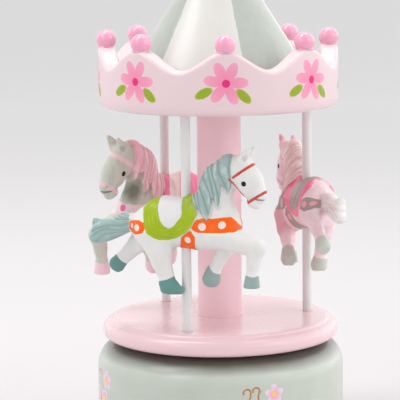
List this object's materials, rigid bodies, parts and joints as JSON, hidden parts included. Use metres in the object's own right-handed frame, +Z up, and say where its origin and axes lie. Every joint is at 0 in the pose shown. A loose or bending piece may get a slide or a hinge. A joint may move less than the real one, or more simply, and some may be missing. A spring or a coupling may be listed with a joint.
{
  "type": "carousel music box",
  "caption": "Painted wooden carousel music box: three horses on poles under a crown-shaped canopy turn on a round base that holds the movement.",
  "frame": {"origin": "centre of the felt face that the box stands on, on the carousel's turning axis", "axes": "+Z up along the carousel's turning axis; -Y towards the front, where the white horse goes past at rest; +X to the right as seen from the front"},
  "size_m": [0.1087, 0.1189, 0.2249],
  "materials": {
    "base_paint": "satin paint",
    "bare_wood": "sanded",
    "felt": "felt",
    "pink_paint": "satin paint",
    "roof_paint": "satin paint",
    "ball_paint": "gloss paint",
    "pole_paint": "satin paint",
    "white_horse_paint": "hand-painted satin",
    "pink_horse_paint": "hand-painted satin",
    "grey_horse_paint": "hand-painted satin",
    "brass": "turned",
    "steel": "bright",
    "plated_zinc": "plated",
    "spring_steel": "blued",
    "governor_plastic": "moulded"
  },
  "bodies": {
    "base": {"base_shell": "base_paint", "bottom_cover": "bare_wood", "cover_screws": "steel", "base_felt": "felt", "shaft_bush": "brass", "bedplate": "plated_zinc", "bedplate_screws": "steel", "spring_housing": "brass", "housing_lid": "brass", "mainspring": "spring_steel", "housing_posts": "plated_zinc", "housing_screws": "steel", "comb": "steel", "comb_block": "plated_zinc", "comb_screws": "brass", "inner_bearing_plate": "plated_zinc", "outer_bearing_plate": "plated_zinc", "governor_frame": "plated_zinc"},
    "carousel": {"drive_shaft": "steel", "drive_gear": "brass", "ratchet_wheel": "steel", "click": "steel", "click_rivet": "brass", "hub_plate": "plated_zinc", "hub_screws": "steel", "platform": "pink_paint", "column": "pink_paint", "pole_white_horse": "pole_paint", "pole_pink_horse": "pole_paint", "pole_grey_horse": "pole_paint", "horse_white": "white_horse_paint", "horse_pink": "pink_horse_paint", "horse_grey": "grey_horse_paint", "ceiling_disc": "pink_paint", "crown_ring": "pink_paint", "roof_cone": "roof_paint", "crown_balls": "ball_paint", "finial_ball": "ball_paint", "finial_dowel": "bare_wood"},
    "cylinder": {"pin_cylinder": "brass", "cylinder_shaft": "steel", "cylinder_pinion": "brass", "end_wheel": "brass"},
    "governor_wheel": {"governor_arbor": "steel", "governor_pinion": "steel", "worm_wheel": "brass"},
    "air_brake_rotor": {"worm_shaft": "steel", "worm": "governor_plastic", "air_brake": "governor_plastic"}
  },
  "joints": [
    {"name": "carousel_spin", "type": "hinge", "parent": "base", "child": "carousel", "pos_m": [0, 0, 0.04], "axis": [0, 0, 1], "continuous": true},
    {"name": "cylinder_spin", "type": "hinge", "parent": "base", "child": "cylinder", "pos_m": [0.022, 0, 0.0245], "axis": [1, 0, 0], "continuous": true},
    {"name": "governor_wheel_spin", "type": "hinge", "parent": "base", "child": "governor_wheel", "pos_m": [0.031, -0.0096, 0.0245], "axis": [1, 0, 0], "continuous": true},
    {"name": "air_brake_spin", "type": "hinge", "parent": "base", "child": "air_brake_rotor", "pos_m": [0.0325, -0.0172, 0.0245], "axis": [0, 0, 1], "continuous": true}
  ],
  "couplings": [
    {"joint": "cylinder_spin", "follows": "carousel_spin", "ratio": -4},
    {"joint": "governor_wheel_spin", "follows": "carousel_spin", "ratio": 20},
    {"joint": "air_brake_spin", "follows": "carousel_spin", "ratio": 600}
  ]
}
